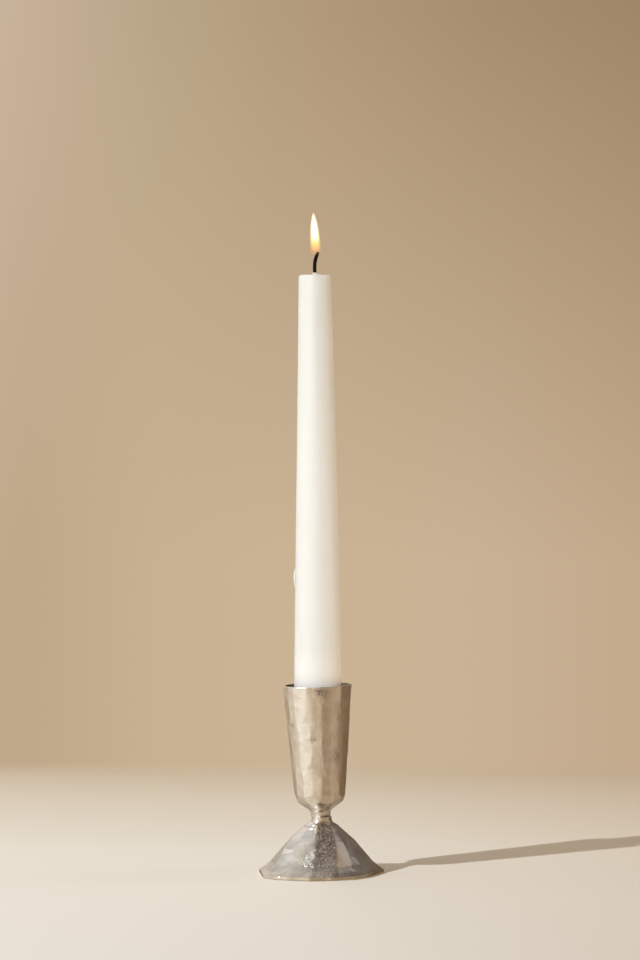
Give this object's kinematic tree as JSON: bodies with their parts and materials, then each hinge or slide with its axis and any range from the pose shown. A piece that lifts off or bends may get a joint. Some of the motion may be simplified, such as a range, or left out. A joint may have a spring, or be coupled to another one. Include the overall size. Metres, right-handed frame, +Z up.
{
  "type": "candlestick",
  "caption": "Low carved silver candlestick: a tall tapering cup with hand-cut flats on a cone-shaped weighted foot, holding a lit white taper candle.",
  "frame": {"origin": "on the table, under the middle of the foot", "axes": "+Z up, -Y the front that faces the viewer, +X to the viewer's right"},
  "size_m": [0.0575, 0.0543, 0.2844],
  "materials": {
    "carved_silver_cup": "hand cut, satin",
    "carved_silver_foot": "hand cut, satin with a sandy grain",
    "candle_wax": "smooth wax",
    "wick_cotton": "charred",
    "plated_steel": "zinc plated",
    "ballast_iron": "as cast, painted",
    "green_felt": "pressed felt",
    "flame": "glowing"
  },
  "bodies": {
    "holder": {"cup": "carved_silver_cup", "foot": "carved_silver_foot", "stud": "plated_steel", "ballast": "ballast_iron", "washer": "plated_steel", "spring_washer": "plated_steel", "nut": "plated_steel", "felt_pad": "green_felt"},
    "candle": {"candle": "candle_wax", "wax_drip": "candle_wax", "wick": "wick_cotton"}
  },
  "joints": [
    {"name": "candle_lift", "type": "slide", "parent": "holder", "child": "candle", "axis": [-0.007, 0, 1], "range_m": [0, 0.045]}
  ]
}
